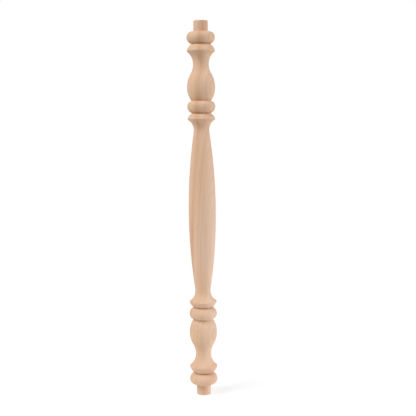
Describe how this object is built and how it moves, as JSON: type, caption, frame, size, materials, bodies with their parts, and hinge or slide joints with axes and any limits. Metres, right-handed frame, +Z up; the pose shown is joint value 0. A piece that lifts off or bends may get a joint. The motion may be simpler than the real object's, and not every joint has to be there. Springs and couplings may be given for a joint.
{
  "type": "turned wooden baluster",
  "caption": "Round turned baluster of pale wood: swelling shaft between vase shapes, collars and beads, with a plain round tenon at each end for a rail and a tread.",
  "frame": {"origin": "centre of the lower tenon's flat end, on the turning axis", "axes": "+Z up along the turning axis, towards the upper tenon; the part is round, so X and Y are alike"},
  "size_m": [0.067, 0.067, 0.9],
  "materials": {
    "beech": "raw, fine sanded, unvarnished"
  },
  "bodies": {
    "root": {"baluster": "beech"}
  },
  "joints": []
}
